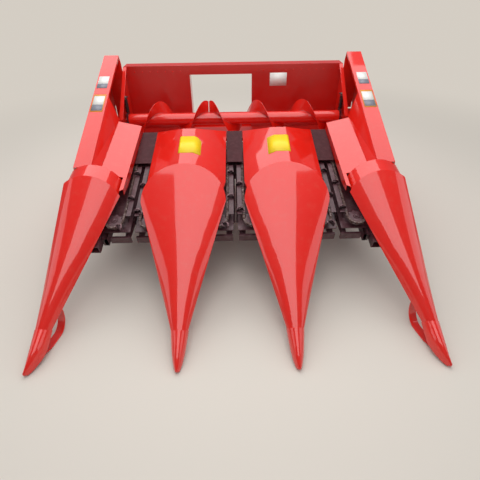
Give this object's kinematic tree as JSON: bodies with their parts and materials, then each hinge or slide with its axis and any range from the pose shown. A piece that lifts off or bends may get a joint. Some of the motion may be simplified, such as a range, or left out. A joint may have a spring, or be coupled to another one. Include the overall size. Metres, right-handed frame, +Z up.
{
  "type": "three-row corn picking header",
  "caption": "Harvester header that pulls corn stalks between dividers with chains and rolls and feeds the ears by a cross auger.",
  "frame": {"origin": "middle of the bounding box's underside, on the ground", "axes": "+Z up, +Y from the snout tips to the rear, +X to the right as seen from the front"},
  "size_m": [2.282, 2.24, 1.206],
  "materials": {
    "red_paint": "gloss",
    "dark_paint": "satin",
    "bare_steel": "satin"
  },
  "bodies": {
    "frame": {"main_frame": "red_paint", "back_wall": "red_paint", "trough": "red_paint", "side_plate_left": "red_paint", "side_plate_right": "red_paint", "feeder_collar": "red_paint", "chain_case": "red_paint", "crest_left": "red_paint", "crest_right": "red_paint", "ledge_left": "red_paint", "ledge_right": "red_paint", "collar_left": "red_paint", "collar_right": "red_paint", "hood_left": "red_paint", "hood_right": "red_paint", "auger_hanger_left": "dark_paint", "auger_hanger_right": "dark_paint", "row_frame_left": "dark_paint", "row_frame_middle": "dark_paint", "row_frame_right": "dark_paint", "gearbox_left": "dark_paint", "gearbox_middle": "dark_paint", "gearbox_right": "dark_paint", "deck_left": "dark_paint", "deck_middle": "dark_paint", "deck_right": "dark_paint", "chains_left": "dark_paint", "chains_middle": "dark_paint", "chains_right": "dark_paint", "arm_outer_left": "dark_paint", "arm_inner_left": "dark_paint", "arm_inner_right": "dark_paint", "arm_outer_right": "dark_paint"},
    "auger": {"auger_tube": "red_paint", "auger_flights": "red_paint"},
    "input_shaft": {"input_shaft": "bare_steel"},
    "drive_shaft": {"drive_shaft": "bare_steel"},
    "roll_left_a": {"roll_left_a": "dark_paint"},
    "roll_left_b": {"roll_left_b": "dark_paint"},
    "roll_middle_a": {"roll_middle_a": "dark_paint"},
    "roll_middle_b": {"roll_middle_b": "dark_paint"},
    "roll_right_a": {"roll_right_a": "dark_paint"},
    "roll_right_b": {"roll_right_b": "dark_paint"},
    "snout_outer_left": {"snout_outer_left": "red_paint", "snout_frame_outer_left": "dark_paint"},
    "snout_inner_left": {"snout_inner_left": "red_paint", "snout_frame_inner_left": "dark_paint"},
    "snout_inner_right": {"snout_inner_right": "red_paint", "snout_frame_inner_right": "dark_paint"},
    "snout_outer_right": {"snout_outer_right": "red_paint", "snout_frame_outer_right": "dark_paint"},
    "stand_front_left": {"stand_front_left": "dark_paint"},
    "stand_front_right": {"stand_front_right": "dark_paint"},
    "stand_rear_left": {"stand_rear_left": "dark_paint"},
    "stand_rear_right": {"stand_rear_right": "dark_paint"}
  },
  "joints": [
    {"name": "input_spin", "type": "hinge", "parent": "frame", "child": "input_shaft", "pos_m": [0.4, 1.021, 0.64], "axis": [1, 0, 0], "continuous": true},
    {"name": "drive_spin", "type": "hinge", "parent": "frame", "child": "drive_shaft", "pos_m": [0, 0.34879, 0.51722], "axis": [1, 0, 0], "continuous": true},
    {"name": "auger_spin", "type": "hinge", "parent": "frame", "child": "auger", "pos_m": [0, 0.75, 0.728], "axis": [1, 0, 0], "continuous": true},
    {"name": "roll_left_a_spin", "type": "hinge", "parent": "frame", "child": "roll_left_a", "pos_m": [-0.693, -0.12417, 0.42776], "axis": [0, 0.9659, 0.2588], "continuous": true},
    {"name": "roll_left_b_spin", "type": "hinge", "parent": "frame", "child": "roll_left_b", "pos_m": [-0.607, -0.12417, 0.42776], "axis": [0, 0.9659, 0.2588], "continuous": true},
    {"name": "roll_middle_a_spin", "type": "hinge", "parent": "frame", "child": "roll_middle_a", "pos_m": [-0.043, -0.12417, 0.42776], "axis": [0, 0.9659, 0.2588], "continuous": true},
    {"name": "roll_middle_b_spin", "type": "hinge", "parent": "frame", "child": "roll_middle_b", "pos_m": [0.043, -0.12417, 0.42776], "axis": [0, 0.9659, 0.2588], "continuous": true},
    {"name": "roll_right_a_spin", "type": "hinge", "parent": "frame", "child": "roll_right_a", "pos_m": [0.607, -0.12417, 0.42776], "axis": [0, 0.9659, 0.2588], "continuous": true},
    {"name": "roll_right_b_spin", "type": "hinge", "parent": "frame", "child": "roll_right_b", "pos_m": [0.693, -0.12417, 0.42776], "axis": [0, 0.9659, 0.2588], "continuous": true},
    {"name": "snout_outer_left_lift", "type": "hinge", "parent": "frame", "child": "snout_outer_left", "pos_m": [-0.868, -0.19, 0.6], "axis": [-1, 0, 0], "range_deg": [0, 16]},
    {"name": "snout_inner_left_lift", "type": "hinge", "parent": "frame", "child": "snout_inner_left", "pos_m": [-0.325, -0.19, 0.6], "axis": [-1, 0, 0], "range_deg": [0, 16]},
    {"name": "snout_inner_right_lift", "type": "hinge", "parent": "frame", "child": "snout_inner_right", "pos_m": [0.325, -0.19, 0.6], "axis": [-1, 0, 0], "range_deg": [0, 16]},
    {"name": "snout_outer_right_lift", "type": "hinge", "parent": "frame", "child": "snout_outer_right", "pos_m": [0.868, -0.19, 0.6], "axis": [-1, 0, 0], "range_deg": [0, 16]},
    {"name": "stand_front_left_fold", "type": "hinge", "parent": "frame", "child": "stand_front_left", "pos_m": [-0.325, -0.36, 0.325], "axis": [1, 0, 0], "range_deg": [0, 85]},
    {"name": "stand_front_right_fold", "type": "hinge", "parent": "frame", "child": "stand_front_right", "pos_m": [0.325, -0.36, 0.325], "axis": [1, 0, 0], "range_deg": [0, 85]},
    {"name": "stand_rear_left_fold", "type": "hinge", "parent": "frame", "child": "stand_rear_left", "pos_m": [-0.56, 1.021, 0.395], "axis": [-1, 0, 0], "range_deg": [0, 85]},
    {"name": "stand_rear_right_fold", "type": "hinge", "parent": "frame", "child": "stand_rear_right", "pos_m": [0.56, 1.021, 0.395], "axis": [-1, 0, 0], "range_deg": [0, 85]}
  ],
  "couplings": [
    {"joint": "drive_spin", "follows": "input_spin", "ratio": 1},
    {"joint": "auger_spin", "follows": "input_spin", "ratio": 0.35},
    {"joint": "roll_left_a_spin", "follows": "input_spin", "ratio": 1},
    {"joint": "roll_left_b_spin", "follows": "input_spin", "ratio": -1},
    {"joint": "roll_middle_a_spin", "follows": "input_spin", "ratio": 1},
    {"joint": "roll_middle_b_spin", "follows": "input_spin", "ratio": -1},
    {"joint": "roll_right_a_spin", "follows": "input_spin", "ratio": 1},
    {"joint": "roll_right_b_spin", "follows": "input_spin", "ratio": -1}
  ]
}
